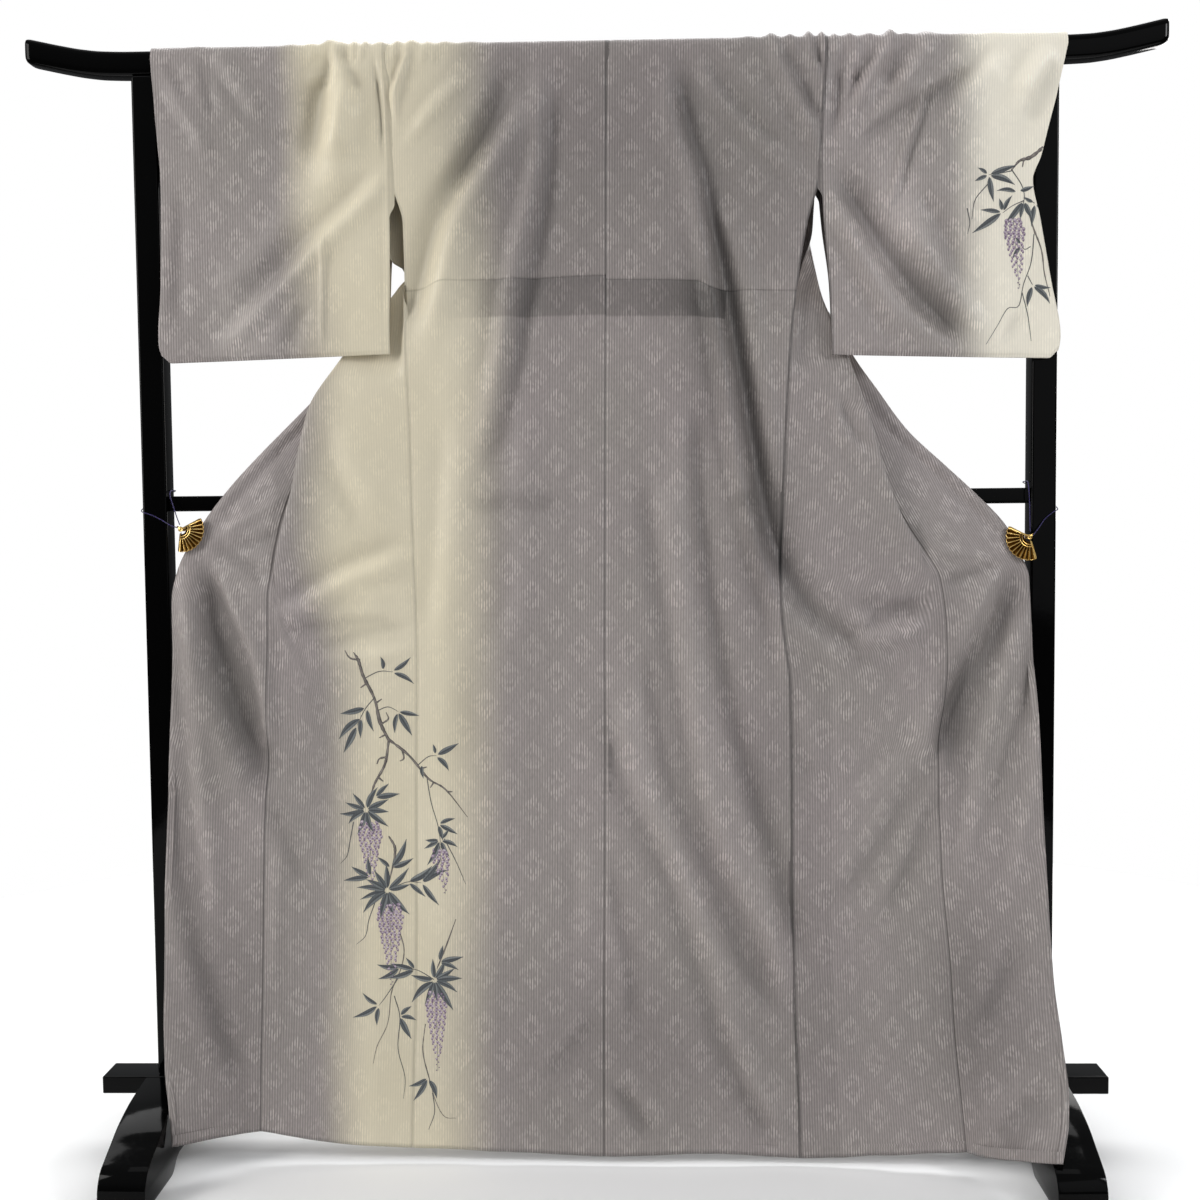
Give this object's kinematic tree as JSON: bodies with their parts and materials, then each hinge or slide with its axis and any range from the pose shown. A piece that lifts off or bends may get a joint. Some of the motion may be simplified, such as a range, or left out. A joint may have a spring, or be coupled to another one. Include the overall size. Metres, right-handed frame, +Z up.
{
  "type": "silk kimono on a kimono stand",
  "caption": "Unlined silk kimono hung open by its sleeves on a black lacquered stand, back panels to the front, fronts held out by gilt fan clips.",
  "frame": {"origin": "centre of the stand on the floor, under the middle of its bar", "axes": "+Z up, X along the stand's bar, -Y the side on which the kimono's back panels hang"},
  "size_m": [1.6686, 0.464, 1.668],
  "materials": {
    "silk": "unlined ribbed figured silk, taupe grey with cream bands, soft sheen",
    "silk_collar": "the same silk, folded double",
    "black_lacquer": "wood under glossy black lacquer",
    "gilt": "gilt brass, pleated",
    "purple_cord": "fine dark purple braided cord"
  },
  "bodies": {
    "root": {"body_left": "silk", "body_right": "silk", "sleeve_left": "silk", "sleeve_right": "silk", "okumi_left": "silk", "okumi_right": "silk", "collar": "silk_collar", "top_bar": "black_lacquer", "upright_left": "black_lacquer", "upright_right": "black_lacquer", "mid_rail": "black_lacquer", "base_rail": "black_lacquer", "foot_left": "black_lacquer", "foot_right": "black_lacquer", "fan_clip_left": "gilt", "fan_clip_right": "gilt", "clip_cord_left": "purple_cord", "clip_cord_right": "purple_cord"}
  },
  "joints": []
}
